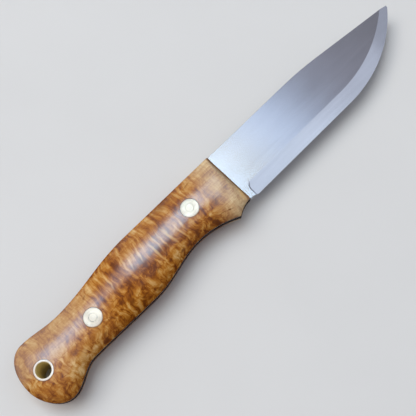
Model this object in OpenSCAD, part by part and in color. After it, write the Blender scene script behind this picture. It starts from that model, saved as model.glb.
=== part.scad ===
// Fixed-blade whittling knife with a full tang, wooden scales, two handle bolts and a lanyard tube.
// It lies on its left scale: +X points to the tip, +Y to the spine, +Z up out of the right scale.
// Drawing lines: x = 0 is the front of the scales, y = 0 the spine, z = 0 the middle of the steel.

/* [Blade] */
// Length from the front of the scales to the tip
blade_length = 110; // [95:1:140]
// Height from the spine down to the cutting edge
blade_height = 26.8; // [24:0.1:32]
// Thickness of the steel, blade and tang alike
stock = 3.2; // [2.4:0.1:5]
// Length of the curved part of the edge, back from the tip
belly_run = 47; // [40:1:60]
// Length of the spine that falls towards the tip
spine_run = 62; // [45:1:75]
// Length over which the falling spine bends away from straight
spine_bend = 20; // [5:1:40]
// Depth of the tip below the straight spine
tip_drop = 6.1; // [3:0.1:9]
// Height of the blunt end of the tip
tip_height = 0.9; // [0.2:0.1:2]
// Width of the ground bevel along the straight edge
bevel_width = 6.4; // [4:0.05:9]
// Width of the ground bevel at the tip
tip_bevel_width = 3.8; // [2.5:0.05:5]
// Thickness left at the cutting edge
edge_land = 0.04; // [0.02:0.01:0.1]
// Unground length between the scales and the bevel
ricasso = 2.9; // [1.5:0.1:5]
// Corner radius where the bevel runs out at the ricasso
plunge_radius = 3; // [1:0.1:3.8]
// Length over which the heel of the edge rises into the choil
heel_run = 5.5; // [3:0.1:10]

/* [Handle outline] */
// Length from the front of the scales to the butt
handle_length = 121; // [110:1:140]
// Depth of the choil in front of the guard
choil_drop = 26; // [23:0.1:26.5]
// Distance of the guard point behind the front
guard_set = 8.5; // [6:0.5:14]
// Depth of the guard point
guard_drop = 28.7; // [27:0.1:34]
// Distance of the finger groove behind the front
groove_set = 28.5; // [22:0.5:38]
// Depth of the handle at the finger groove
groove_drop = 23.5; // [21:0.1:25.5]
// Distance of the palm swell behind the front
swell_set = 58; // [50:1:66]
// Depth of the handle at the palm swell
swell_drop = 28.1; // [26:0.1:32]
// Distance of the waist from the butt
waist_to_butt = 28.5; // [24:0.5:34]
// Depth of the belly at the waist
waist_drop = 27.6; // [25:0.1:31]
// Distance of the lower butt corner from the butt
low_corner_to_butt = 11.5; // [8:0.5:15]
// Depth of the lower butt corner
low_corner_drop = 33.4; // [30:0.1:38]
// Squareness of the lower butt corner, 2 for an ellipse
low_corner_power = 1.85; // [1.5:0.05:3]
// Length of the back that runs on straight from the spine
back_straight = 51; // [30:1:60]
// Distance of the hollow in the back from the butt
back_hollow_to_butt = 28; // [20:1:34]
// Depth of the hollow in the back
back_hollow_drop = 4.4; // [1:0.1:7]
// Distance of the upper butt corner from the butt
high_corner_to_butt = 10.5; // [8:0.5:15]
// Depth of the upper butt corner
high_corner_drop = 2.7; // [0:0.1:5]
// Squareness of the upper butt corner, 2 for an ellipse
high_corner_power = 2.2; // [1.5:0.05:3]

/* [Scales] */
// Depth of the crest of the scales at the front bolt
crest_front_drop = 12.4; // [10:0.1:14]
// Depth of the crest of the scales at the lanyard tube
crest_butt_drop = 18.4; // [15:0.1:21]
// Thickness of a scale behind its front
front_thickness = 8.5; // [7.5:0.1:12]
// Thickness of a scale at the finger groove
groove_thickness = 8.2; // [7.5:0.1:12]
// Thickness of a scale at the palm swell
swell_thickness = 8.8; // [7.5:0.1:13]
// Thickness of a scale at the waist
waist_thickness = 8.2; // [7.5:0.1:12]
// Thickness of a scale at the butt
butt_thickness = 8.7; // [7.5:0.1:12]
// Height of the upright edge of a scale beside the tang
edge_wall = 0.3; // [0.2:0.1:1.5]
// Squareness of a scale's rounded section, 2 for an ellipse
crown_power = 2.1; // [2:0.1:3]
// Share of a scale's width that is sanded flat along the crest
crest_flat = 0.15; // [0.1:0.01:0.3]
// Lean of the front of a scale, back from upright
front_lean = 22; // [10:1:45]
// Sharpness of the corner over the front of a scale
front_sharpness = 7; // [4:1:12]
// Run along the handle, over the full thickness, of the facet on the lower front corner
facet_run = 8.6; // [6:0.1:14]
// Rise across the handle, over the full thickness, of the same facet
facet_reach = 16.4; // [11:0.1:20]
// Length of the rounding in front of the butt
butt_roll = 12; // [8:0.5:16]

/* [Bolts and tube] */
// Diameter of the round nuts
nut_d = 8; // [6:0.1:10]
// Wood left under each nut
nut_seat = 3.5; // [2:0.1:5]
// Diameter of the threaded studs
stud_d = 3.5; // [2.5:0.1:5]
// Distance of the front bolt behind the front
front_bolt_set = 22.6; // [16:0.1:30]
// Distance of the rear bolt from the butt
rear_bolt_to_butt = 38.8; // [30:0.1:46]
// Outer diameter of the lanyard tube
tube_od = 8.3; // [6:0.1:10]
// Wall of the lanyard tube
tube_wall = 0.85; // [0.4:0.05:1.2]
// Distance of the lanyard tube from the butt
tube_to_butt = 10.7; // [9:0.1:16]
// Gap round a stud, nut or tube in its hole
fit_gap = 0.05; // [0.02:0.01:0.2]

/* [Hidden] */
$fn = 64;

// Places behind the front of the scales that are dimensioned from the butt
waist_set = handle_length - waist_to_butt;
low_corner_set = handle_length - low_corner_to_butt;
back_hollow_set = handle_length - back_hollow_to_butt;
high_corner_set = handle_length - high_corner_to_butt;
rear_bolt_set = handle_length - rear_bolt_to_butt;
tube_set = handle_length - tube_to_butt;

// The last section of the scales stops this share of the butt rounding short of a point
butt_share = 0.9992;
// Faces round the crown of one section, an odd number so that the middle one lies level along the crest
crown_steps = 25;
// Sections between the front and the guard, and in the rounding of the butt
front_sections = 12;
butt_sections = 14;
// Spacing of the other sections along the handle
section_step = 2.6;
// Points along the curved part of the edge, and in the curve of the heel
belly_steps = 40;
heel_steps = 8;
// Spacing of the points along the falling spine
spine_step = 4;
// Turn between two points of the plunge corner
plunge_turn = 9;
// How far cutting shapes reach past what they cut
past = 2;

function share(value, from, to) = (value - from) / (to - from);
function s_curve(from, to, t) = from + (to - from) * (1 - cos(180 * t)) / 2;
function round_off(t, power) = pow(max(0, 1 - pow(t, power)), 1 / power);

// Rows of values that stop one short of the last: evenly spread, widening, and closing up
function spread(from, to, step) =
    let (count = ceil(abs(to - from) / step))
    [for (i = [0 : count - 1]) from + (to - from) * i / count];
function widening(from, to, count) =
    [for (i = [0 : count - 1]) from + (to - from) * (1 - cos(90 * i / count))];
function closing(from, to, count) =
    [for (i = [0 : count - 1]) from + (to - from) * sin(90 * i / count)];

// Outline of the handle: depth below the spine line at distance d behind the front

function back_drop(d) =
    d <= back_straight ? 0
    : d <= back_hollow_set ? s_curve(0, back_hollow_drop, share(d, back_straight, back_hollow_set))
    : d <= high_corner_set
        ? s_curve(back_hollow_drop, high_corner_drop, share(d, back_hollow_set, high_corner_set))
    : crest_butt_drop - (crest_butt_drop - high_corner_drop)
        * round_off(share(d, high_corner_set, handle_length), high_corner_power);

function belly_drop(d) =
    d <= guard_set ? choil_drop + (guard_drop - choil_drop) * pow(d / guard_set, 2)
    : d <= groove_set ? groove_drop + (guard_drop - groove_drop) * pow(share(d, groove_set, guard_set), 2)
    : d <= swell_set ? s_curve(groove_drop, swell_drop, share(d, groove_set, swell_set))
    : d <= waist_set ? s_curve(swell_drop, waist_drop, share(d, swell_set, waist_set))
    : d <= low_corner_set ? s_curve(waist_drop, low_corner_drop, share(d, waist_set, low_corner_set))
    : crest_butt_drop + (low_corner_drop - crest_butt_drop)
        * round_off(share(d, low_corner_set, handle_length), low_corner_power);

// The bolts and the tube sit on the crest line of the scales
function crest_drop(d) =
    d <= front_bolt_set ? crest_front_drop
    : d <= tube_set ? s_curve(crest_front_drop, crest_butt_drop, share(d, front_bolt_set, tube_set))
    : crest_butt_drop;

// Thickness of a scale on its crest line, before the butt is rounded
function full_thickness(d) =
    d <= guard_set ? front_thickness
    : d <= groove_set ? s_curve(front_thickness, groove_thickness, share(d, guard_set, groove_set))
    : d <= swell_set ? s_curve(groove_thickness, swell_thickness, share(d, groove_set, swell_set))
    : d <= waist_set ? s_curve(swell_thickness, waist_thickness, share(d, swell_set, waist_set))
    : d <= tube_set ? s_curve(waist_thickness, butt_thickness, share(d, waist_set, tube_set))
    : butt_thickness;

function crest_height(d) =
    d <= handle_length - butt_roll ? full_thickness(d)
    : edge_wall + (full_thickness(d) - edge_wall)
        * sqrt(max(0, 1 - pow(share(d, handle_length - butt_roll, handle_length), crown_power)));

// The front of a scale leans back and its lower corner has a facet. Both meet the crown in a soft corner,
// which the least of the three heights makes when it is rounded off with powers.
function under_front(height, d, drop) =
    let (
        front = edge_wall + d / tan(front_lean),
        facet = edge_wall + front_thickness * (d / facet_run + (choil_drop - drop) / facet_reach),
        n = front_sharpness
    )
    pow(pow(height, -n) + pow(front, -n) + pow(facet, -n), -1 / n);

// Sections of the handle stand at these distances behind the front
stations = concat(
    widening(0, guard_set, front_sections),
    spread(guard_set, groove_set, section_step),
    spread(groove_set, swell_set, section_step),
    spread(swell_set, waist_set, section_step),
    spread(waist_set, low_corner_set, section_step),
    closing(low_corner_set, handle_length, butt_sections),
    [low_corner_set + low_corner_to_butt * butt_share]
);
widest_step = max([for (i = [1 : len(stations) - 1]) stations[i] - stations[i - 1]]);

// Upper half of the section at d, from the belly over the crest to the back
function crown(d) = [
    for (i = [0 : crown_steps])
        let (
            a = 180 * i / crown_steps - 90,
            crest = crest_drop(d),
            side = a < 0 ? belly_drop(d) : back_drop(d),
            out = crest_flat + (1 - crest_flat) * pow(abs(sin(a)), 2 / crown_power),
            drop = crest + (side - crest) * out,
            height = edge_wall + (crest_height(d) - edge_wall) * cos(a)
        )
        [-d, -drop, stock / 2 + under_front(height, d, drop)]
];

// Place of the drawing lines in the part's frame: the middle of the bottom of its box is the origin
half_thickness = max([for (d = stations, p = crown(d)) p.z]);
lowest = max(blade_height, max([for (d = stations) belly_drop(d)]));
place = [(handle_length - blade_length) / 2, lowest / 2, half_thickness];

// Section of one scale, closed by its flat face on the tang
function scale_section(d) = concat(
    [[-d, -belly_drop(d), stock / 2]],
    crown(d),
    [[-d, -back_drop(d), stock / 2]]
);

// Section of the whole handle, both scales and the tang
function handle_section(d) = concat(
    crown(d),
    [for (i = [crown_steps : -1 : 0]) let (p = crown(d)[i]) [p.x, p.y, -p.z]]
);

// Skin of triangles over a row of closed, convex sections that all have as many points
module loft(sections) {
    rows = len(sections);
    around = len(sections[0]);
    last = (rows - 1) * around;
    polyhedron(
        points = [for (section = sections) each section],
        faces = concat(
            [
                for (row = [0 : rows - 2], i = [0 : around - 1])
                    let (here = row * around, next = (i + 1) % around)
                    each [
                        [here + i, here + next, here + around + i],
                        [here + next, here + around + next, here + around + i]
                    ]
            ],
            [for (i = [1 : around - 2]) [0, i + 1, i]],
            [for (i = [1 : around - 2]) [last, last + i, last + i + 1]]
        )
    );
}

// Keeps what lies inside the handle round distance d, so that its ends follow the surface of the scales
module flush(d, reach) {
    intersection() {
        children();
        loft([for (s = stations) if (abs(s - d) <= reach + widest_step) handle_section(s)]);
    }
}

// Upright shapes at distance d on the crest line
module on_crest(d) {
    translate([-d, -crest_drop(d), 0]) children();
}

module through_hole(diameter) {
    cylinder(h = 2 * (half_thickness + past), d = diameter + 2 * fit_gap, center = true);
}

// Outline of blade and tang

spine_slope = tip_drop / (spine_run - spine_bend / 2);
spine_start = blade_length - spine_run;
function spine_drop(x) =
    x < spine_start + spine_bend
        ? spine_slope * pow(x - spine_start, 2) / (2 * spine_bend)
        : spine_slope * (x - spine_start - spine_bend / 2);

// The belly is an arc that leaves the straight edge smoothly and ends at the foot of the blunt tip
belly_rise = blade_height - tip_drop - tip_height;
belly_radius = (pow(belly_run, 2) + pow(belly_rise, 2)) / (2 * belly_rise);
belly_start = blade_length - belly_run;
belly_middle = [belly_start, belly_radius - blade_height];
tip_angle = atan2(belly_run, belly_radius - belly_rise);
function belly_point(a, inset) = belly_middle + (belly_radius - inset) * [sin(a), -cos(a)];

blade_outline = concat(
    [for (i = [0 : belly_steps]) belly_point(tip_angle * i / belly_steps, 0)],
    [for (x = spread(blade_length, spine_start, spine_step)) [x, -spine_drop(x)]],
    [[spine_start, 0]],
    [for (d = stations) [-d, -back_drop(d)]],
    [for (i = [len(stations) - 1 : -1 : 0]) [-stations[i], -belly_drop(stations[i])]],
    [
        for (i = [1 : heel_steps])
            let (t = i / heel_steps)
            [heel_run * t, -s_curve(choil_drop, blade_height, t)]
    ]
);

// Width of the bevel at angle a of the belly
function bevel_at(a) = bevel_width - (bevel_width - tip_bevel_width) * pow(a / tip_angle, 2);

// Triangle across the ground-away wedge: out past the edge, in past the shoulder, and above both
function wedge_section(edge, inward, width) =
    let (
        rise = (stock - edge_land) / 2 / width,
        out = edge - past * inward,
        in = edge + (width + past) * inward,
        top = stock / 2 + past * rise
    )
    [[out.x, out.y, top], [in.x, in.y, top], [out.x, out.y, edge_land / 2 - past * rise]];

// Steel ground away on the right side: the wedge along the edge, stopped by a round corner at the ricasso
module bevel_cut() {
    straight = [for (x = [0, belly_start]) wedge_section([x, -blade_height], [0, 1], bevel_width)];
    curved = [
        for (i = [1 : belly_steps + 2])
            let (a = tip_angle * i / belly_steps)
            wedge_section(belly_point(a, 0), [-sin(a), cos(a)], bevel_at(a))
    ];
    shoulder = bevel_width - blade_height;
    corner = [ricasso + plunge_radius, shoulder - plunge_radius];
    intersection() {
        loft(concat(straight, curved));
        translate([0, 0, -stock])
            linear_extrude(2 * stock)
                polygon(concat(
                    [[ricasso, -blade_height - 2 * past]],
                    [for (a = [180 : -plunge_turn : 90]) corner + plunge_radius * [cos(a), sin(a)]],
                    [
                        [corner.x, past],
                        [blade_length + 2 * past, past],
                        [blade_length + 2 * past, -blade_height - 2 * past]
                    ]
                ));
    }
}

module blade() {
    color("lightsteelblue") translate(place)
        difference() {
            linear_extrude(stock, center = true) polygon(blade_outline);
            bevel_cut();
            mirror([0, 0, 1]) bevel_cut();
            on_crest(front_bolt_set) through_hole(stud_d);
            on_crest(rear_bolt_set) through_hole(stud_d);
            on_crest(tube_set) through_hole(tube_od);
        }
}

// Scales

module nut_hole() {
    through_hole(stud_d);
    translate([0, 0, stock / 2 + nut_seat]) cylinder(h = half_thickness, d = nut_d + 2 * fit_gap);
}

module scale() {
    difference() {
        loft([for (d = stations) scale_section(d)]);
        on_crest(front_bolt_set) nut_hole();
        on_crest(rear_bolt_set) nut_hole();
        on_crest(tube_set) through_hole(tube_od);
    }
}

module right_scale() {
    color("peru") translate(place) scale();
}

module left_scale() {
    color("peru") translate(place) mirror([0, 0, 1]) scale();
}

// Handle bolts: a threaded stud with a round nut on each end, ground flush with the wood

module stud(d) {
    color("gainsboro") translate(place)
        flush(d, stud_d / 2)
            on_crest(d) cylinder(h = 2 * half_thickness + past, d = stud_d, center = true);
}

module nut(d) {
    flush(d, nut_d / 2)
        on_crest(d)
            difference() {
                translate([0, 0, stock / 2 + nut_seat]) cylinder(h = half_thickness, d = nut_d);
                through_hole(stud_d);
            }
}

module right_nut(d) {
    color("whitesmoke") translate(place) nut(d);
}

module left_nut(d) {
    color("whitesmoke") translate(place) mirror([0, 0, 1]) nut(d);
}

// Lanyard tube through both scales and the tang
module lanyard_tube() {
    color("whitesmoke") translate(place)
        flush(tube_set, tube_od / 2)
            on_crest(tube_set)
                difference() {
                    cylinder(h = 2 * half_thickness + past, d = tube_od, center = true);
                    cylinder(h = 2 * (half_thickness + past), d = tube_od - 2 * tube_wall, center = true);
                }
}

blade();
right_scale();
left_scale();
stud(front_bolt_set);  // front_bolt_stud
right_nut(front_bolt_set);  // front_bolt_right_nut
left_nut(front_bolt_set);  // front_bolt_left_nut
stud(rear_bolt_set);  // rear_bolt_stud
right_nut(rear_bolt_set);  // rear_bolt_right_nut
left_nut(rear_bolt_set);  // rear_bolt_left_nut
lanyard_tube();
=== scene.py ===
import math

import bmesh
import bpy
import numpy as np
from mathutils import Matrix, Vector


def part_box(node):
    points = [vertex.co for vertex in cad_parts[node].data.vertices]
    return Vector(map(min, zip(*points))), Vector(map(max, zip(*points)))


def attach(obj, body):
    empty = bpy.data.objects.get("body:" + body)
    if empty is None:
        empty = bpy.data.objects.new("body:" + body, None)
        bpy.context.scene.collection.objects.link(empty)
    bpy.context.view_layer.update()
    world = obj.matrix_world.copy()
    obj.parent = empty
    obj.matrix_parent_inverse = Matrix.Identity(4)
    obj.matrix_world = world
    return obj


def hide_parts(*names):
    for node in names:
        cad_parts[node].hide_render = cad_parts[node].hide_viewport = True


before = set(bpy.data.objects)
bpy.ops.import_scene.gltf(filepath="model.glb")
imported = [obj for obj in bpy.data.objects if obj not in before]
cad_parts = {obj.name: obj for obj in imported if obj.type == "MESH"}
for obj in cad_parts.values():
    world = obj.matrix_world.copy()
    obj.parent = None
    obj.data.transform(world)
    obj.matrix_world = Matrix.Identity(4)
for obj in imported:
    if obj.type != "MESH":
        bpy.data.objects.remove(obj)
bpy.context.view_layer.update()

# Blade and tang: one flat bar of carbon steel, cut to outline and drilled for the bolts and the tube.
# Both sides are ground with one wide bevel, which stops in a round plunge in front of the handle.
# The steel has a satin finish drawn along the blade. The edges of the tang are dark with painted shade.

MM = 0.001
WELD = 0.0001 * MM
BLADE_LENGTH = 110.0
BLADE_HEIGHT = 26.8
STOCK = 3.2
EDGE_LAND = 0.04
BEVEL_WIDTH = 6.4
TIP_BEVEL_WIDTH = 3.8
BELLY_RUN = 47.0
SPINE_RUN = 62.0
SPINE_BEND = 20.0
TIP_DROP = 6.1
TIP_HEIGHT = 0.9
RICASSO = 2.9
PLUNGE_RADIUS = 3.0
PLUNGE_RAMP = 0.7
HEEL_RUN = 5.5
SPINE_BREAK = 0.12

HANDLE_LENGTH = 121.0
HOLLOW_START = 51.0
HOLLOW_SET = 93.0
HOLLOW_DROP = 4.4
CHOIL_DROP = 26.0
GUARD_SET = 8.5
GUARD_DROP = 28.7
GROOVE_SET = 28.5
GROOVE_DROP = 23.5
SWELL_SET = 58.0
SWELL_DROP = 28.1
WAIST_SET = 92.5
WAIST_DROP = 27.6
LOW_CORNER_SET = 109.5
LOW_CORNER_DROP = 33.4
LOW_CORNER_POWER = 1.85
HIGH_CORNER_SET = 110.5
HIGH_CORNER_DROP = 2.7
HIGH_CORNER_POWER = 2.2
CREST_BUTT_DROP = 18.4

# Drawing lines, in millimetres, which cross at PLACE in the frame: x = 0 is the front of the scales,
# y = 0 the spine and z = 0 the middle of the steel
bar_low, bar_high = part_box("blade")
PLACE = np.array([
    bar_high.x / MM - BLADE_LENGTH,
    bar_high.y / MM,
    (bar_low.z + bar_high.z) / 2 / MM,
])


def ease(t):
    """Rises from 0 to 1 along half a cosine wave."""
    return (1 - np.cos(np.pi * np.clip(t, 0, 1))) / 2


def through(d, stops):
    """A curve through (place, value) stops that eases from each value to the next."""
    places, values = np.array(stops).T
    i = np.clip(np.searchsorted(places, d, side="right") - 1, 0, len(places) - 2)
    t = (d - places[i]) / (places[i + 1] - places[i])
    return values[i] + (values[i + 1] - values[i]) * ease(t)


def butt_corner(d, start, drop, power):
    """Rounds the outline from drop at start into the middle of the butt, along a superellipse."""
    t = np.clip((d - start) / (HANDLE_LENGTH - start), 0, 1)
    return CREST_BUTT_DROP + (drop - CREST_BUTT_DROP) * (1 - t ** power) ** (1 / power)


def back_drop(d):
    """Depth of the handle's back below the spine line: straight, then a hollow, then the upper corner."""
    hollow = through(d, [
        (0, 0), (HOLLOW_START, 0), (HOLLOW_SET, HOLLOW_DROP), (HIGH_CORNER_SET, HIGH_CORNER_DROP)])
    corner = butt_corner(d, HIGH_CORNER_SET, HIGH_CORNER_DROP, HIGH_CORNER_POWER)
    return np.where(d > HIGH_CORNER_SET, corner, hollow)


def belly_drop(d):
    """Depth of the handle's belly: parabolas to the guard and into the finger groove, an eased curve over
    the palm swell and the waist, then the lower corner."""
    choil = CHOIL_DROP + (GUARD_DROP - CHOIL_DROP) * (d / GUARD_SET) ** 2
    groove = GROOVE_DROP + (GUARD_DROP - GROOVE_DROP) * ((d - GROOVE_SET) / (GUARD_SET - GROOVE_SET)) ** 2
    palm = through(d, [
        (GROOVE_SET, GROOVE_DROP), (SWELL_SET, SWELL_DROP),
        (WAIST_SET, WAIST_DROP), (LOW_CORNER_SET, LOW_CORNER_DROP)])
    corner = butt_corner(d, LOW_CORNER_SET, LOW_CORNER_DROP, LOW_CORNER_POWER)
    front = np.where(d < GUARD_SET, choil, groove)
    return np.where(d < GROOVE_SET, front, np.where(d < LOW_CORNER_SET, palm, corner))


belly_rise = BLADE_HEIGHT - TIP_DROP - TIP_HEIGHT
belly_radius = (BELLY_RUN ** 2 + belly_rise ** 2) / (2 * belly_rise)
belly_start = BLADE_LENGTH - BELLY_RUN
belly_middle = belly_radius - BLADE_HEIGHT
tip_angle = math.atan2(BELLY_RUN, belly_radius - belly_rise)
spine_start = BLADE_LENGTH - SPINE_RUN
spine_slope = TIP_DROP / (SPINE_RUN - SPINE_BEND / 2)


def spine_line(x):
    """Height of the spine or of the tang's back: straight, bending over a parabola into a straight fall."""
    past = np.maximum(x - spine_start, 0)
    bend = spine_slope * past ** 2 / (2 * SPINE_BEND)
    fall = spine_slope * (past - SPINE_BEND / 2)
    blade = -np.where(past < SPINE_BEND, bend, fall)
    return np.where(x < 0, -back_drop(np.maximum(-x, 0)), blade)


def edge_line(x):
    """Height of the cutting edge or of the tang's belly: the heel eases into a straight edge, and an arc
    rises from it to the foot of the blunt tip."""
    arc = belly_middle - np.sqrt(belly_radius ** 2 - np.clip(x - belly_start, 0, BELLY_RUN) ** 2)
    heel = CHOIL_DROP + (BLADE_HEIGHT - CHOIL_DROP) * ease(x / HEEL_RUN)
    blade = np.where(x < HEEL_RUN, -heel, arc)
    return np.where(x < 0, -belly_drop(np.maximum(-x, 0)), blade)


def bevel_width(a):
    """Width of the bevel at angle a of the belly, which narrows with the square of a."""
    return BEVEL_WIDTH - (BEVEL_WIDTH - TIP_BEVEL_WIDTH) * (np.maximum(a, 0) / tip_angle) ** 2


def shoulder_line(x):
    """Height of the line between bevel and flat, which runs inside the edge by the bevel's width."""
    a = np.linspace(0, 1.2 * tip_angle, 200)
    inside = belly_radius - bevel_width(a)
    curved = np.interp(x, belly_start + inside * np.sin(a), belly_middle - inside * np.cos(a))
    return np.minimum(np.where(x < belly_start, BEVEL_WIDTH - BLADE_HEIGHT, curved), spine_line(x))


def half_stock(x, y):
    """Half the steel's thickness: full, less what the bevel takes off from its shoulder down to the edge.
    The plunge ramps the bevel in along its round corner."""
    a = np.where(x > belly_start, np.arctan2(x - belly_start, belly_middle - y), 0)
    inside = np.where(
        x > belly_start,
        belly_radius - np.hypot(x - belly_start, belly_middle - y),
        y + BLADE_HEIGHT,
    )
    cut = (STOCK - EDGE_LAND) / 2 * np.clip(1 - inside / bevel_width(a), 0, 1)
    rise = np.clip(y - (BEVEL_WIDTH - BLADE_HEIGHT - PLUNGE_RADIUS), 0, PLUNGE_RADIUS)
    plunge = RICASSO + PLUNGE_RADIUS - np.sqrt(PLUNGE_RADIUS ** 2 - rise ** 2)
    return STOCK / 2 - cut * ease((x - plunge) / PLUNGE_RAMP)


def skin(name, rings, wrap=False):
    """A closed skin over rings of points, an array of (rings, points round a ring, xyz) in drawing
    millimetres. The last ring joins the first if wrap is set and both are capped if not."""
    count, around = rings.shape[:2]
    index = np.arange(count * around).reshape(count, around)
    here = index if wrap else index[:-1]
    on = np.roll(index, -1, axis=0) if wrap else index[1:]
    quads = np.stack([here, np.roll(here, -1, axis=1), np.roll(on, -1, axis=1), on], axis=-1)
    faces = quads.reshape(-1, 4).tolist()
    if not wrap:
        faces += [index[0].tolist(), index[-1, ::-1].tolist()]
    mesh = bpy.data.meshes.new(name)
    mesh.from_pydata((rings.reshape(-1, 3) + PLACE) * MM, [], faces)
    shape = bmesh.new()
    shape.from_mesh(mesh)
    bmesh.ops.remove_doubles(shape, verts=shape.verts, dist=WELD)
    bmesh.ops.dissolve_degenerate(shape, edges=shape.edges, dist=WELD)
    bmesh.ops.recalc_face_normals(shape, faces=shape.faces)
    shape.to_mesh(mesh)
    shape.free()
    piece = bpy.data.objects.new(name, mesh)
    bpy.context.scene.collection.objects.link(piece)
    return piece


def turned(profile, d, drop, sides=96):
    """Rings of a turned shape on the upright axis at distance d and depth drop: one circle for each
    (radius, height) of the profile."""
    a = np.linspace(0, 2 * np.pi, sides, endpoint=False)
    radius, height = np.array(profile, float).T
    x = -d + radius[:, None] * np.cos(a)
    y = -drop + radius[:, None] * np.sin(a)
    return np.stack([x, y, np.broadcast_to(height[:, None], x.shape)], axis=-1)


def drill(piece, holes):
    """Cuts each turned shape in holes out of the piece."""
    for rings in holes:
        drill_bit = skin("drill_bit", rings)
        cut = piece.modifiers.new("hole", "BOOLEAN")
        cut.operation = "DIFFERENCE"
        cut.solver = "EXACT"
        cut.object = drill_bit
        bpy.context.view_layer.update()
        seen = piece.evaluated_get(bpy.context.evaluated_depsgraph_get())
        drilled = bpy.data.meshes.new_from_object(seen)
        piece.modifiers.clear()
        piece.data = drilled
        bpy.data.objects.remove(drill_bit)


def fit(piece, material, slot, crease, *nodes):
    """Fits a finished piece: smooth shading up to the crease angle, material, CAD nodes. Slot is not used.
    """
    mesh = piece.data
    mesh.polygons.foreach_set("use_smooth", np.ones(len(mesh.polygons), bool))
    mesh.set_sharp_from_angle(angle=math.radians(crease))
    mesh.materials.clear()
    mesh.materials.append(material)
    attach(piece, "root")
    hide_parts(*nodes)


class Shade:
    """A socket of a material. Arithmetic on sockets adds Math nodes, and node() adds any other node."""

    def __init__(self, tree, socket=None):
        self.tree = tree
        self.socket = socket

    def node(self, kind, settings, inputs, output=0):
        """Adds a node, sets its settings, then gives its inputs values or links, and returns an output."""
        made = self.tree.nodes.new(kind)
        for name, value in settings.items():
            if name == "stops":
                ramp = made.color_ramp.elements
                while len(ramp) < len(value):
                    ramp.new(1.0)
                for stop, (place, colour) in zip(ramp, value):
                    stop.position = place
                    stop.color = colour
            else:
                setattr(made, name, value)
        for name, value in inputs.items():
            if isinstance(value, Shade):
                self.tree.links.new(value.socket, made.inputs[name])
            else:
                made.inputs[name].default_value = value
        return Shade(self.tree, made.outputs[output])

    def math(self, operation, *values):
        """Adds a Math node on numbers."""
        return self.node("ShaderNodeMath", {"operation": operation}, dict(enumerate(values)))

    def __add__(self, other):
        return self.math("ADD", self, other)

    def __radd__(self, other):
        return self.math("ADD", other, self)

    def __sub__(self, other):
        return self.math("SUBTRACT", self, other)

    def __rsub__(self, other):
        return self.math("SUBTRACT", other, self)

    def __mul__(self, other):
        return self.math("MULTIPLY", self, other)

    def __rmul__(self, other):
        return self.math("MULTIPLY", other, self)

    def __pow__(self, other):
        return self.math("POWER", self, other)

    def vector(self, operation, *values, output=0):
        """Adds a Vector Math node on places or colours."""
        return self.node(
            "ShaderNodeVectorMath", {"operation": operation}, dict(enumerate(values)), output)

    def step(self, low, high):
        """Smooth step from 0 at low to 1 at high, or the other way round where low is above high."""
        return self.node(
            "ShaderNodeMapRange", {"interpolation_type": "SMOOTHSTEP"},
            {"Value": self, "From Min": low, "From Max": high})

    def tint(self, first, second):
        """Colour between first and second by this factor."""
        return self.node(
            "ShaderNodeMix", {"data_type": "RGBA"}, {0: self, 6: first, 7: second}, output=2)


def place_in(start):
    """Position on the piece in millimetres of the drawing: the vector and its three numbers."""
    here = start.node("ShaderNodeTexCoord", {}, {}, output="Object")
    drawn = here.vector("MULTIPLY_ADD", here, (1 / MM,) * 3, tuple(-PLACE))
    parts = [start.node("ShaderNodeSeparateXYZ", {}, {0: drawn}, output=i) for i in range(3)]
    return drawn, parts


def noise(where, stretch, detail=2.0, rough=0.5, output=0):
    """Noise whose cells are about stretch = (x, y, z) millimetres long."""
    scaled = where.vector("DIVIDE", where, stretch)
    return where.node(
        "ShaderNodeTexNoise", {},
        {"Vector": scaled, "Scale": 1.0, "Detail": detail, "Roughness": rough}, output)


def finish(name, constants):
    """A new material: the first socket to build from, and a function that links what varies."""
    material = bpy.data.materials.new(name)
    material.use_nodes = True
    tree = material.node_tree
    surface = tree.nodes["Principled BSDF"]
    for socket, value in constants.items():
        surface.inputs[socket].default_value = value

    def link(height, depth, **varying):
        """Links a bump of so many millimetres and the other varying sockets, and returns the material."""
        bump = Shade(tree).node(
            "ShaderNodeBump", {}, {"Height": height, "Strength": 1.0, "Distance": depth * MM})
        tree.links.new(bump.socket, surface.inputs["Normal"])
        for socket, value in varying.items():
            tree.links.new(value.socket, surface.inputs[socket.replace("_", " ")])
        return material

    return Shade(tree), link


def blade_finish():
    """Satin steel: long fine lines along the blade and a faint cloud. The edges of the tang carry painted
    shade: nearly black, rough and not metallic."""
    start, link = finish("satin_blade_steel", {"Specular IOR Level": 0.0})
    here, (x, _, z) = place_in(start)
    lines = noise(here, (30.0, 0.14, 0.5), detail=3.0, rough=0.6)
    bands = noise(here, (60.0, 2.2, 3.0))
    cloud = noise(here, (16.0, 9.0, 9.0), detail=3.0)
    face = z.math("ABSOLUTE", z).step(STOCK / 2 - 0.35, STOCK / 2 - 0.05)
    handle = x.step(0.4, -0.4)
    # Painted shade: the edges of the tang are painted nearly black
    painted_edge_shade = (1 - face) * handle
    steel = (0.5 * bands + 0.5 * cloud).step(0.3, 0.7).tint(
        (0.54, 0.555, 0.60, 1), (0.58, 0.595, 0.645, 1))
    colour = painted_edge_shade.tint(steel, (0.022, 0.018, 0.015, 1))
    rough = 0.12 + 0.05 * lines + 0.03 * cloud + 0.25 * painted_edge_shade
    return link(
        0.5 * lines + 0.05 * bands, 0.002, Base_Color=colour, Roughness=rough, Metallic=1.0 - painted_edge_shade)


FRONT_BOLT_SET = 22.6
REAR_BOLT_SET = 82.2
TUBE_SET = 110.3
STUD_HOLE = 3.6
TUBE_HOLE = 8.4
CREST_FRONT_DROP = 12.4
PAST_BUTT = 200.0
DRILL_REACH = 20.0


def crest_drop(d):
    """Depth of the scales' crest, which carries the bolts and the tube."""
    return through(d, [
        (0, CREST_FRONT_DROP), (FRONT_BOLT_SET, CREST_FRONT_DROP),
        (TUBE_SET, CREST_BUTT_DROP), (PAST_BUTT, CREST_BUTT_DROP)])


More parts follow.
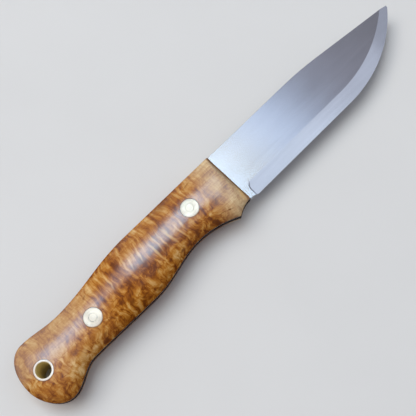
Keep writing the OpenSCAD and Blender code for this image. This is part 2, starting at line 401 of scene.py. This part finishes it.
def straight_hole(d, diameter):
    """A hole right through everything on the crest line at distance d."""
    radius = diameter / 2
    return turned([(radius, -DRILL_REACH), (radius, DRILL_REACH)], d, crest_drop(np.array(d)))


PLUNGE_FROM = 2.5
PLUNGE_TO = 8.0
BLADE_CREASE = 9

tang = -np.concatenate([
    LOW_CORNER_SET + (HANDLE_LENGTH - LOW_CORNER_SET) * np.sin(np.linspace(np.pi / 2, 0, 40)),
    np.linspace(LOW_CORNER_SET, GUARD_SET, 120)[1:],
    np.linspace(GUARD_SET, 0, 16)[1:],
])
along = np.concatenate([
    tang,
    np.linspace(0, PLUNGE_FROM, 12)[1:],
    np.linspace(PLUNGE_FROM, PLUNGE_TO, 70)[1:],
    np.linspace(PLUNGE_TO, belly_start, 40)[1:],
    np.linspace(belly_start, BLADE_LENGTH, 110)[1:],
])
edge = edge_line(along)
spine = spine_line(along)
shoulder = np.clip(shoulder_line(along), edge, spine)
broken = np.minimum(SPINE_BREAK, spine - shoulder)
up_bevel = np.linspace(0, 1, 25)
up_flat = np.linspace(0, 1, 17)[1:]
rows = np.concatenate([
    edge + (shoulder - edge) * up_bevel[:, None],
    shoulder + (spine - broken - shoulder) * up_flat[:, None],
    spine[None],
])
side = half_stock(along, rows)
side[-1] -= broken
right = np.stack([np.broadcast_to(along, rows.shape), rows, side], axis=-1)
left = right[::-1] * (1, 1, -1)
blade = skin("ground_blade", np.concatenate([right, left]).transpose(1, 0, 2))
drill(blade, [
    straight_hole(FRONT_BOLT_SET, STUD_HOLE),
    straight_hole(REAR_BOLT_SET, STUD_HOLE),
    straight_hole(TUBE_SET, TUBE_HOLE),
])
fit(blade, blade_finish(), "blade_steel", BLADE_CREASE, "blade")

# Scales: two slabs of curly burl wood, glued to the tang and shaped together with it. They are
# rounded from the crest to the tang and cut back at the front, with a facet over the choil.
# The wood is oiled and polished to a satin shine, which is duller in places.

EDGE_WALL = 0.3
CROWN_POWER = 2.6
ROLL_POWER = 2.1
FRONT_LEAN = math.radians(22)
FRONT_SHARPNESS = 7
FRONT_THICKNESS = 8.5
GROOVE_THICKNESS = 8.2
SWELL_THICKNESS = 8.8
WAIST_THICKNESS = 8.2
BUTT_THICKNESS = 8.7
FACET_RUN = 8.6
FACET_REACH = 16.4
BUTT_ROLL = 12.0
NUT_SEAT = 3.5
NUT_HOLE = 8.1
WOOD_CREASE = 40


def crest_height(d):
    """Thickness of a scale on its crest: an eased curve, rolled down to the tang at the butt."""
    full = through(d, [
        (0, FRONT_THICKNESS), (GUARD_SET, FRONT_THICKNESS), (GROOVE_SET, GROOVE_THICKNESS),
        (SWELL_SET, SWELL_THICKNESS), (WAIST_SET, WAIST_THICKNESS),
        (TUBE_SET, BUTT_THICKNESS), (PAST_BUTT, BUTT_THICKNESS)])
    roll = np.clip((d - HANDLE_LENGTH + BUTT_ROLL) / BUTT_ROLL, 0, 1)
    return EDGE_WALL + (full - EDGE_WALL) * np.sqrt(1 - roll ** ROLL_POWER)


def under_front(height, d, drop):
    """The least of the crown, the leaning front and the facet over the choil, with soft corners."""
    front = EDGE_WALL + d / math.tan(FRONT_LEAN)
    facet = EDGE_WALL + FRONT_THICKNESS * (d / FACET_RUN + (CHOIL_DROP - drop) / FACET_REACH)
    powers = sum(np.maximum(h, 1e-3) ** -FRONT_SHARPNESS for h in (height, front, facet))
    return powers ** (-1 / FRONT_SHARPNESS)


def scale_height(d, drop):
    """Height of a scale over the middle of the steel at distance d and depth drop: a superellipse from the
    crest down to the edge wall, cut back at the front."""
    crest = crest_drop(d)
    reach = np.where(drop > crest, belly_drop(d), back_drop(d)) - crest
    out = np.clip((drop - crest) / np.where(reach == 0, 1, reach), 0, 1)
    crown = np.sqrt(1 - out ** CROWN_POWER)
    height = EDGE_WALL + (crest_height(d) - EDGE_WALL) * crown
    return STOCK / 2 + under_front(height, d, drop)


def scale_rings():
    """Rings across a scale from front to butt: the crown from belly to back, closed along the tang."""
    d = np.concatenate([
        GUARD_SET * (1 - np.cos(np.linspace(0, np.pi / 2, 41))),
        np.linspace(GUARD_SET, LOW_CORNER_SET, 150)[1:],
        LOW_CORNER_SET + (HANDLE_LENGTH - LOW_CORNER_SET) * np.sin(np.linspace(0, np.pi / 2, 48))[1:],
    ])[:, None]
    a = np.radians(np.linspace(-90, 90, 72))
    out = np.abs(np.sin(a)) ** (2 / CROWN_POWER)
    crest = crest_drop(d)
    drop = crest + (np.where(a < 0, belly_drop(d), back_drop(d)) - crest) * out
    crown = EDGE_WALL + (crest_height(d) - EDGE_WALL) * np.cos(a)
    z = STOCK / 2 + under_front(crown, d, drop)
    drop = np.concatenate([drop[:, :1], drop, drop[:, -1:]], axis=1)
    foot = np.full_like(d, STOCK / 2)
    z = np.concatenate([foot, z, foot], axis=1)
    return np.stack([np.broadcast_to(-d, drop.shape), -drop, z], axis=-1)


def bolt_hole(d, turn):
    """Hole for a handle bolt: the stud's through the slab and the nut's down to its seat."""
    seat = STOCK / 2 + NUT_SEAT
    profile = [
        (STUD_HOLE / 2, 0.0), (STUD_HOLE / 2, seat), (NUT_HOLE / 2, seat), (NUT_HOLE / 2, DRILL_REACH)]
    return turned(profile, d, crest_drop(np.array(d))) * (1, 1, turn)


def stirred(where, size, reach):
    """Places stirred about by up to reach millimetres, in eddies of about the given size."""
    eddy = noise(where, (size, size, size), detail=1.0, output="Color")
    least = where.vector("SUBTRACT", where, (reach,) * 3)
    return where.vector("MULTIPLY_ADD", eddy, (2 * reach,) * 3, least)


def streaks(where, marks):
    """How strongly a place is marked: full on a mark's middle line, nothing outside its oval.
    A mark is (x, y, half length, half width, turn from the grain in degrees, strength)."""
    marked = None
    for x, y, length, width, turn, strength in marks:
        inside = where.node(
            "ShaderNodeMapping", {"vector_type": "TEXTURE"},
            {"Vector": where, "Location": (x, y, 0), "Rotation": (0, 0, math.radians(turn)),
             "Scale": (length, width, 1e6)})
        mark = strength * inside.vector("LENGTH", inside, output="Value").step(1.0, 0.15)
        marked = mark if marked is None else marked.math("MAXIMUM", marked, mark)
    return marked


def wood_finish(name, shift, curls, eyes):
    """Curly burl: one tone from dark brown to gold, raised in pale curls across the grain and broken into
    a mottle with brown veins towards the belly and the butt. The front is pale and quiet, with a painted
    sheen on its crest. Painted shade darkens the crest, the back, the leaning front and the rim by the
    tang, where end grain darkens it too, and lies with the glue line along the foot by the tang and the
    blade. The joints round the metal are darker, and so is the wood behind the swell. The polish is duller
    low down, behind the swell and by the front bolt."""
    start, link = finish(name, {"Coat Roughness": 0.22, "Coat IOR": 2.0, "Specular IOR Level": 0.0})
    here, (x, y, z) = place_in(start)
    moved = here.vector("ADD", here, shift)
    stir = stirred(moved, 6.0, 3.0)
    cloud = noise(stir, (16.0, 10.0, 14.0)) - 0.5
    curl = noise(stirred(moved, 12.0, 3.0), (1.7, 12.0, 14.0), detail=3.0) - 0.5
    flame = noise(stir, (0.7, 3.0, 3.0), detail=2.0) - 0.5
    mottle = noise(stir, (2.4, 3.6, 4.0), detail=3.0) - 0.5
    vein = noise(stir, (3.6, 5.0, 5.0), detail=1.0) - 0.5
    grain = noise(moved, (14.0, 0.7, 0.8), detail=3.0, rough=0.6) - 0.5
    pores = noise(moved, (1.6, 0.18, 0.25), detail=1.0).step(0.60, 0.72)
    side = z.math("ABSOLUTE", z)

    # Masks: 1 in the named place of the scale and 0 away from it
    front = x.step(-19.0, -6.0)
    butt = x.step(-72.0, -95.0)
    low = y.step(-13.0, -20.0) * (1 - front)
    high = y.step(-5.0, -1.0) * (1 - front)
    rim = side.step(7.5, 2.5)
    crest = side.step(8.8, 10.0)
    lip = x.step(-2.4, -0.8)
    # Behind the swell the wood is darker and its polish duller
    behind_swell = x.step(-57.0, -63.0) * x.step(-79.0, -72.0)
    fore = x.step(-44.0, -36.0) * x.step(-8.0, -12.0)
    calm = butt * (1 - low)
    lee = y.step(-14.2, -16.5) * x.step(-34.0, -42.0) * (1 - butt)
    by_bolt = x.step(-19.0, -14.0) * x.step(-5.5, -8.5)

    # Tone of the wood with its painted shade, then the marks on it and the painted shade and glue line
    # along the foot by the tang and the blade
    curly = (1 - 0.65 * front) * (1 - 0.45 * calm) * (1 - 0.5 * low)
    burly = (0.4 + 0.6 * low) * (1 - 0.8 * front)
    stroke = vein.math("ABSOLUTE", vein).step(0.03, 0.0) * (0.3 + 0.7 * low) * (1 - 0.6 * front)
    # Painted shade along the back, on the rim by the tang, where end grain darkens it too, on the leaning
    # front and on the crest
    edges = 0.12 * high + 0.16 * rim * (1 - 0.7 * front) + 0.3 * lip
    crest_shade = (0.13 + 0.15 * behind_swell + 0.15 * fore + 0.12 * front) * crest
    # Darker wood low down and behind the swell, added to the painted shade above
    shade = 0.06 * low + (0.1 - 0.05 * low) * behind_swell + edges + crest_shade
    level = 0.54 + 0.29 * front + butt * (0.18 * low - 0.05) - shade
    figure = 1.7 * curl * curly + 1.8 * mottle * burly - 0.26 * stroke + 0.55 * flame * (1 - 0.2 * calm)
    wood = start.node("ShaderNodeValToRGB", {"stops": [
        (0.00, (0.14, 0.034, 0.003, 1)),
        (0.22, (0.26, 0.075, 0.006, 1)),
        (0.42, (0.39, 0.140, 0.014, 1)),
        (0.60, (0.49, 0.225, 0.045, 1)),
        (0.80, (0.57, 0.315, 0.100, 1)),
        (1.00, (0.70, 0.450, 0.190, 1)),
    ]}, {"Fac": level + 0.9 * cloud + figure + (0.25 + 0.75 * front + 0.2 * calm) * grain})
    joint_width = 0.6
    joint_strength = 8.0
    joints = []
    for d, hole in [(FRONT_BOLT_SET, NUT_HOLE), (REAR_BOLT_SET, NUT_HOLE), (TUBE_SET, TUBE_HOLE)]:
        reach = hole / 2 + joint_width
        joints.append((-d, -float(crest_drop(np.array(d))), reach, reach, 0, joint_strength))
    wavy = stirred(here, 4.0, 0.8)
    # Paler wood at the front and on the calm butt; the extra on the front crest is a painted sheen
    pallor_and_sheen = (0.85 + 0.2 * crest - 0.2 * lip) * front + 0.5 * calm
    pale = wood.vector("MULTIPLY_ADD", pallor_and_sheen, (0.035, 0.12, 0.145), wood)
    straw = (0.78, 0.50, 0.19, 1)
    eye_brown = (0.16, 0.046, 0.006, 1)
    joint_brown = (0.10, 0.040, 0.012, 1)
    glue_and_shade_brown = (0.045, 0.020, 0.008, 1)
    light = streaks(wavy, curls).tint(pale, straw)
    marked = streaks(wavy, eyes).tint(light, eye_brown)
    ringed = streaks(here, joints).tint(marked, joint_brown)
    # Painted shade at the foot along the tang and at the front against the blade, with the glue line there
    glue_line_and_shade = side.math("MAXIMUM", 0.85 * side.step(2.6, 1.7), 0.4 * x.step(-2.0, -0.6))
    colour = glue_line_and_shade.tint(ringed, glue_and_shade_brown)

    # Polish and relief
    rough = 0.45 + 0.12 * pores + 0.2 * mottle
    dull = (1 - 0.45 * low) * (1 - 0.6 * behind_swell) * (1 - 0.6 * lee) * (1 - 0.38 * by_bolt)
    shine = (1.0 - 0.3 * pores) * (0.1 + 0.9 * side.step(5.0, 9.4)) * dull
    height = 0.3 * curl + 0.15 * grain - 0.6 * pores
    return link(height, 0.02, Base_Color=colour, Roughness=rough, Coat_Weight=shine)


# Curls and eyes: middle, half length, half width, turn from the grain and strength of each mark
RIGHT_CURLS = [
    # The first curl is a painted highlight on the facet over the choil
    (-2, -22, 5, 1.35, 75, 0.55),
    (-67.8, -10.7, 6.3, 0.75, 83, 0.48),
    (-58.2, -9.7, 4.7, 0.68, 77, 0.44),
    (-56.3, -11.8, 3.9, 0.68, 80, 0.44),
    (-51, -11.1, 5.7, 0.68, 76, 0.53),
    (-45.3, -15.8, 7.4, 0.75, 94, 0.53),
    (-42.8, -13.2, 7.6, 0.6, 89, 0.44),
    (-40.1, -13.6, 6.7, 0.6, 89, 0.44),
    (-37, -14.8, 7, 0.9, 98, 0.5),
    (-32.4, -15.8, 4.9, 0.68, 98, 0.48),
    (-29.9, -14.5, 4.2, 0.6, 85, 0.4),
    (-93.6, -24.6, 2.6, 1.35, 29, 0.44),
]
RIGHT_EYES = [
    (-66.7, -23.7, 2.2, 1.3, 29, 0.75),
    (-61.8, -25.4, 1.5, 0.6, 9, 0.6),
    (-55.4, -16.4, 1.4, 0.5, 120, 0.7),
    (-59.1, -21.7, 1.4, 0.6, 30, 0.6),
    (-49.3, -21.5, 2.8, 0.6, 25, 0.7),
    (-54.4, -27.0, 2.1, 0.6, 2, 0.6),
    (-36.9, -22.7, 1.9, 0.7, 11, 0.8),
    (-28.1, -22.0, 1.8, 0.6, 9, 0.65),
    (-18.3, -22.9, 1.8, 0.6, 7, 0.7),
    (-10.9, -24.1, 1.2, 0.6, 160, 0.95),
    (-13.7, -23.3, 3.4, 0.3, 165, 0.55),
    (-9.8, -24.6, 1.6, 0.3, 160, 0.5),
    (-16.7, -4.2, 3.2, 0.5, 7, 0.5),
    (-76.6, -22.8, 2.3, 0.5, 125, 0.8),
    (-79.5, -8.4, 1.9, 0.6, 35, 0.5),
    (-96.9, -22.7, 1.7, 0.5, 147, 0.6),
    (-83.3, -25.4, 1.8, 0.7, 9, 0.6),
    (-30, -1.5, 9, 5.0, 0, 0.5),
]
LEFT_CURLS = [
    (-74, -12.5, 6, 1, 98, 0.44),
    (-62.5, -13.8, 6.8, 0.9, 86, 0.48),
    (-57, -10.4, 4.6, 0.8, 82, 0.4),
    (-48.2, -14.1, 7.2, 1.2, 91, 0.52),
    (-39.5, -12, 5.6, 0.9, 99, 0.44),
    (-34, -15.5, 4.8, 0.8, 84, 0.4),
]
LEFT_EYES = [
    (-88.4, -23.5, 2.0, 0.6, 150, 0.7),
    (-70.2, -24.8, 2.4, 1.0, 12, 0.7),
    (-58.8, -22.0, 1.6, 0.6, 40, 0.65),
    (-44.6, -23.9, 2.2, 0.6, 170, 0.75),
    (-26.0, -5.2, 3.0, 0.5, 4, 0.5),
    (-14.2, -20.8, 1.4, 0.6, 25, 0.85),
]
for name, turn, shift, curls, eyes in [
    ("right_scale", 1, (0.0, 0.0, 0.0), RIGHT_CURLS, RIGHT_EYES),
    ("left_scale", -1, (40.0, 25.0, 30.0), LEFT_CURLS, LEFT_EYES),
]:
    scale = skin(name + "_wood", scale_rings() * (1, 1, turn))
    drill(scale, [
        bolt_hole(FRONT_BOLT_SET, turn),
        bolt_hole(REAR_BOLT_SET, turn),
        straight_hole(TUBE_SET, TUBE_HOLE),
    ])
    fit(scale, wood_finish(name + "_burl", shift, curls, eyes), "handle_wood", WOOD_CREASE, name)

# Handle bolts: a threaded stud through the tang with a round nut on each end, tightened down on seats
# in the wood. Nuts and stud ends are ground flush with the scales. The bright metal shows fine rings.

NUT_D = 8.0
STUD_D = 3.5
RIM_BREAK = 0.12
JOINT_BREAK = 0.05
FACE_INSET = 0.4
METAL_CREASE = 30


def on_scale(rings):
    """Lifts rings whose heights are given from the face of the scale on to that face."""
    return rings + np.stack([
        np.zeros(rings.shape[:2]),
        np.zeros(rings.shape[:2]),
        scale_height(-rings[..., 0], -rings[..., 1]),
    ], axis=-1)


def nut_rings(d):
    """Rings round a nut's section: its bore, its face that follows the scale, its rim and its seat."""
    bore, rim = STUD_HOLE / 2, NUT_D / 2
    drop = crest_drop(np.array(d))
    face = [(bore, -JOINT_BREAK), (bore + JOINT_BREAK, 0.0)]
    face += [(r, 0.0) for r in np.linspace(bore + FACE_INSET, rim - FACE_INSET, 8)]
    face += [(rim - RIM_BREAK, 0.0), (rim, -RIM_BREAK)]
    seat = STOCK / 2 + NUT_SEAT
    top = on_scale(turned(face, d, drop))
    foot = turned([(rim, seat), (bore, seat)], d, drop)
    return np.concatenate([top, foot])


def stud_rings(d):
    """Rings of a stud from the middle of one end to the middle of the other, both following the scales."""
    rim = STUD_D / 2
    face = [(r, 0.0) for r in np.linspace(0, rim - JOINT_BREAK, 7)] + [(rim, -JOINT_BREAK)]
    end = on_scale(turned(face, d, crest_drop(np.array(d))))
    return np.concatenate([end, end[::-1] * (1, 1, -1)])


def turned_finish(name, d):
    """Bright turned metal: fine rings about the axis at distance d, a few sanding scratches, and broken
    dark lines of old polish round the stud and the nut."""
    start, link = finish(name, {})
    here, (x, y, _) = place_in(start)
    across = x + d
    down = y + float(crest_drop(np.array(d)))
    radius = (across * across + down * down) ** 0.5
    wander = noise(here, (3.0, 3.0, 3.0))
    rings = radius.math("SINE", 9.0 * radius + 2.0 * wander)
    sanding = noise(here, (5.0, 0.15, 0.5), detail=2.0)
    stain = noise(here, (2.5, 2.5, 4.0), detail=2.0).step(0.35, 0.7)
    lines = [radius.math("ABSOLUTE", radius - joint).step(0.25, 0.06) for joint in (STUD_D / 2, NUT_D / 2)]
    grime = radius.math("MAXIMUM", *lines) * wander.step(0.48, 0.64)
    clean = np.array((1.0, 0.83, 0.64))
    stained = 0.82 * clean
    polish_brown = (0.20, 0.16, 0.11, 1)
    bright = (0.6 * stain + 0.2 * rings).tint((*clean, 1), (*stained, 1))
    colour = (0.6 * grime).tint(bright, polish_brown)
    rough = 0.36 + 0.06 * sanding + 0.06 * stain + 0.2 * grime
    height = 0.5 * rings + 0.5 * sanding
    return link(height, 0.012, Base_Color=colour, Roughness=rough, Metallic=1.0 - 0.6 * grime)


for bolt, d in [("front_bolt", FRONT_BOLT_SET), ("rear_bolt", REAR_BOLT_SET)]:
    metal = turned_finish(bolt + "_metal", d)
    stud = skin(bolt + "_stud_metal", stud_rings(d))
    fit(stud, metal, "bolt_metal", METAL_CREASE, bolt + "_stud")
    for hand, turn in [("right", 1), ("left", -1)]:
        nut = skin(f"{bolt}_{hand}_nut_metal", nut_rings(d) * (1, 1, turn), wrap=True)
        fit(nut, metal, "bolt_metal", METAL_CREASE, f"{bolt}_{hand}_nut")

# Lanyard tube: a thin steel tube pressed through both scales and the tang near the butt, ground flush
# with the wood and eased at the mouth for a cord.

TUBE_OD = 8.3
TUBE_WALL = 0.85
TUBE_BORE = TUBE_OD - 2 * TUBE_WALL
MOUTH_CREASE = 40


def tube_rings():
    """Rings round the tube's section: over one mouth from the outside to the bore, then over the other
    mouth back to the outside. A mouth is given as radii and heights from the face of the scale."""
    outer, bore = TUBE_OD / 2, TUBE_BORE / 2
    mouth = [
        (outer, -0.08), (outer - 0.06, 0.0), (bore + 0.14, 0.0), (bore + 0.05, -0.04), (bore, -0.13)]
    end = on_scale(turned(mouth, TUBE_SET, CREST_BUTT_DROP))
    return np.concatenate([end, end[::-1] * (1, 1, -1)])


def tube_finish():
    """Bright ground steel on the ends of the tube. Its bore is brown, rougher and not metallic."""
    start, link = finish("tube_metal", {})
    here, (x, y, _) = place_in(start)
    across = x + TUBE_SET
    down = y + CREST_BUTT_DROP
    radius = (across * across + down * down) ** 0.5
    sanding = noise(here, (5.0, 0.15, 0.5), detail=2.0)
    bore_mottle = noise(here, (1.5, 1.5, 3.0), detail=2.0)
    bore = radius.step(TUBE_BORE / 2 + 0.10, TUBE_BORE / 2)
    brown = bore_mottle.tint((0.60, 0.49, 0.21, 1), (0.84, 0.69, 0.32, 1))
    colour = bore.tint((1.0, 0.90, 0.78, 1), brown)
    rough = 0.30 + 0.06 * sanding + 0.3 * bore
    return link(sanding, 0.002, Base_Color=colour, Roughness=rough, Metallic=1.0 - 0.9 * bore)


tube = skin("lanyard_tube_metal", tube_rings(), wrap=True)
fit(tube, tube_finish(), "tube_metal", MOUTH_CREASE, "lanyard_tube")

# Studio: a pale floor under the knife, window panes and dimmer sheets overhead, which the polish and
# the steel mirror, cool panels on the edge's side and a soft top light. The camera looks down at the
# right scale from behind, as in the photo.


def floor_finish():
    """Pale matt board with a faint mottle."""
    start, link = finish("pale_floor", {"Specular IOR Level": 0.2})
    here, _ = place_in(start)
    mottle = noise(here, (60.0, 60.0, 60.0), detail=3.0)
    colour = mottle.tint((0.62, 0.615, 0.60, 1), (0.66, 0.655, 0.64, 1))
    return link(mottle, 0.01, Base_Color=colour, Roughness=0.75 + 0.1 * mottle)


FLOOR_SIDE = 6.0
corner = FLOOR_SIDE / 2
floor_mesh = bpy.data.meshes.new("floor")
floor_mesh.from_pydata(
    [(-corner, -corner, 0), (corner, -corner, 0), (corner, corner, 0), (-corner, corner, 0)],
    [], [(0, 1, 2, 3)])
floor_mesh.materials.append(floor_finish())
floor = bpy.data.objects.new("floor", floor_mesh)
bpy.context.scene.collection.objects.link(floor)


def panel(name, centre, size, radiance, tint, seen=True, turn=None):
    """An oblong soft light, its centre and size in metres. Radiance is how bright it looks in a mirror.
    It faces the knife, or straight down with its sides turned by so many degrees."""
    data = bpy.data.lights.new(name, "AREA")
    data.shape = "RECTANGLE"
    data.size, data.size_y = size
    data.energy = radiance * math.pi * size[0] * size[1]
    data.color = tint
    lamp = bpy.data.objects.new(name, data)
    lamp.location = centre
    aim = Vector(centre).to_track_quat("Z", "Y").to_euler()
    lamp.rotation_euler = aim if turn is None else (0.0, 0.0, math.radians(turn))
    lamp.visible_glossy = seen
    bpy.context.scene.collection.objects.link(lamp)


HANG = 1.5
NEAR_SKY = (0.47, 0.76, 1.0)
FORE_SKY = (0.45, 0.75, 1.0)
FAR_SKY = (0.33, 0.65, 1.0)
panel("near_pane", (0.105, 0.505, HANG), (0.11, 0.25), 5.0, NEAR_SKY)
panel("upper_pane", (0.10, 0.78, HANG), (0.14, 0.32), 2.5, NEAR_SKY)
panel("fore_pane", (0.203, 0.365, HANG), (0.09, 0.43), 9.5, FORE_SKY, turn=0)
panel("low_pane", (0.235, 0.06, HANG), (0.08, 0.18), 11.0, FORE_SKY, turn=0)
panel("far_pane", (-0.12, 0.46, HANG), (0.12, 0.36), 6.2, FAR_SKY)
panel("far_upper_pane", (-0.12, 0.795, HANG), (0.12, 0.31), 2.8, FAR_SKY)

# Sheets over the blade, from the heel to the tip: middle, width, radiance and tint
SHEET_LENGTH = 0.60
SHEET_TURN = 8
for name, middle, width, radiance, tint in [
    ("pale_sheet", 0.39, 0.12, 0.61, (1.0, 0.97, 0.74)),
    ("blue_sheet", 0.51, 0.12, 1.24, (0.61, 0.76, 1.0)),
    ("dim_sheet", 0.60, 0.06, 0.34, (0.51, 0.71, 1.0)),
    ("dark_sheet", 0.73, 0.20, 0.098, (0.80, 0.74, 1.0)),
]:
    panel(name, (middle, 0.37, HANG), (width, SHEET_LENGTH), radiance, tint, turn=SHEET_TURN)

panel("sky_sheet", (-0.55, 0.55, 1.7), (1.6, 1.8), 0.7, (0.97, 0.98, 1.0))
panel("cool_panel", (0.26, -0.44, HANG), (0.6, 0.6), 0.93, (0.74, 0.86, 1.0))
panel("far_cool_panel", (0.93, -0.44, HANG), (0.74, 0.6), 0.62, (0.76, 0.85, 1.0))
panel("tip_panel", (1.75, -0.45, 1.25), (1.2, 0.9), 0.33, (0.72, 0.82, 1.0))
panel("top_light", (-0.3, 0.7, 1.9), (1.5, 1.5), 4.1, (1.0, 0.96, 0.92), seen=False)

world = bpy.data.worlds.new("studio")
bpy.context.scene.world = world
world.use_nodes = True
background = world.node_tree.nodes["Background"]
background.inputs["Color"].default_value = (0.265, 0.26, 0.285, 1)
background.inputs["Strength"].default_value = 1.0
bpy.context.scene.view_settings.view_transform = "Standard"

EYE = Vector((-72.6, -76.5, 346.0)) * MM
AIM = Vector((-10.0, 1.0, 10.4)) * MM
ROLL = math.radians(44.33)
SENSOR = 36.0
FOCAL_LENGTH = 70.67
back = (EYE - AIM).normalized()
level = (Vector((1, 0, 0)) - back.x * back).normalized()
rise = back.cross(level)
right_hand = math.cos(ROLL) * level - math.sin(ROLL) * rise
up = math.sin(ROLL) * level + math.cos(ROLL) * rise
lens = bpy.data.cameras.new("camera")
lens.sensor_width = SENSOR
lens.lens = FOCAL_LENGTH
camera = bpy.data.objects.new("camera", lens)
camera.matrix_world = Matrix.Translation(EYE) @ Matrix((right_hand, up, back)).transposed().to_4x4()
lens.clip_start = 0.01
bpy.context.scene.collection.objects.link(camera)
bpy.context.scene.camera = camera
